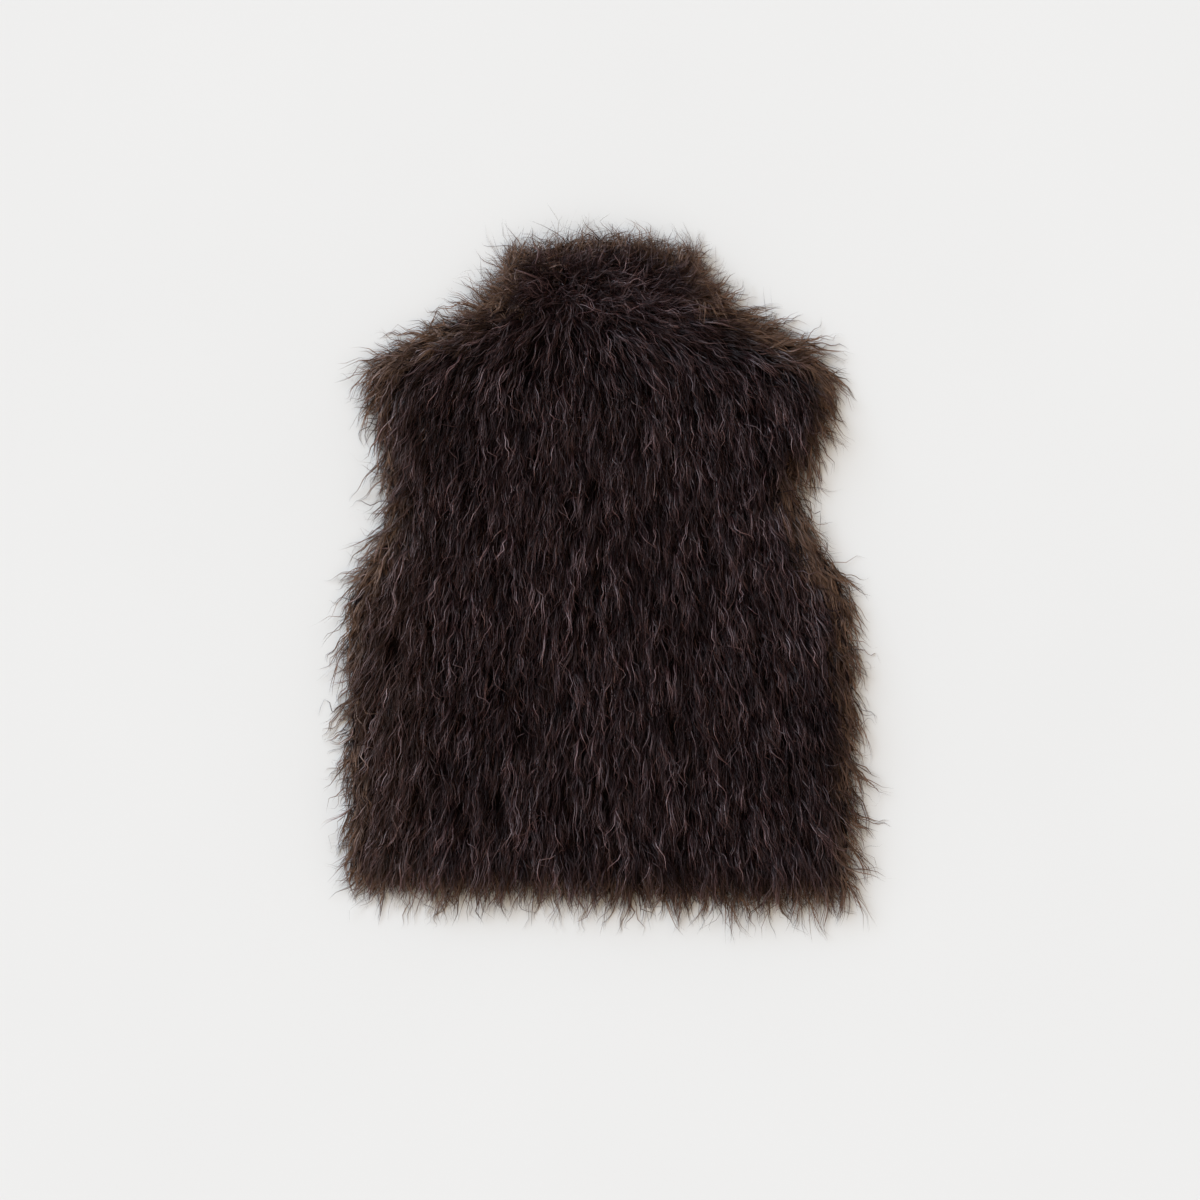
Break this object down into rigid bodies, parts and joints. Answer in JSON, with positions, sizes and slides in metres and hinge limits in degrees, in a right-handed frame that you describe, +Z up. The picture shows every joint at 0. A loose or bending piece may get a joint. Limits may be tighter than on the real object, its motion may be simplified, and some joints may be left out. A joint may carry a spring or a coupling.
{
  "type": "faux fur vest",
  "caption": "Sleeveless long-pile faux fur vest with a stand collar, laid flat on its fronts with its back up.",
  "frame": {"origin": "centre of the surface that the laid vest rests on, under the middle of its outline", "axes": "+Z up from the surface, through the vest's back; +Y from the hem towards the collar; +X to the right seen from above with the collar at the top"},
  "size_m": [0.515, 0.6648, 0.0473],
  "materials": {
    "fur": "long shaggy pile, dark brown, soft low sheen",
    "collar_fur": "long shaggy pile, slightly warmer brown, soft low sheen"
  },
  "bodies": {
    "root": {"back_panel": "fur", "front_left": "fur", "front_right": "fur", "collar": "collar_fur"}
  },
  "joints": []
}
